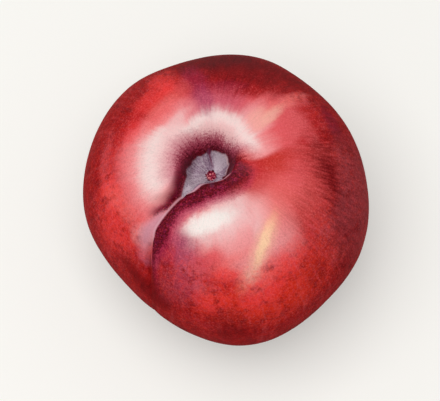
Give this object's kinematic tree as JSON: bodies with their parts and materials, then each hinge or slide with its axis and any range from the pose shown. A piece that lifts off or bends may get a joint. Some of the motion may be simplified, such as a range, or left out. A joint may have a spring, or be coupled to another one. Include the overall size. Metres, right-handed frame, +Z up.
{
  "type": "plum",
  "caption": "Whole ripe red dessert plum, round and slightly lopsided, with a stem pit, a suture and a small flat resting spot.",
  "frame": {"origin": "centre of the flat resting spot at the blossom end, on the surface the plum stands on", "axes": "+Z up from the resting spot towards the stem pit; +Y towards the far cheek, away from the viewer; +X to the viewer's right. The suture runs down the front left."},
  "size_m": [0.0588, 0.0598, 0.0487],
  "materials": {
    "skin": "satin"
  },
  "bodies": {
    "root": {"plum": "skin"}
  },
  "joints": []
}
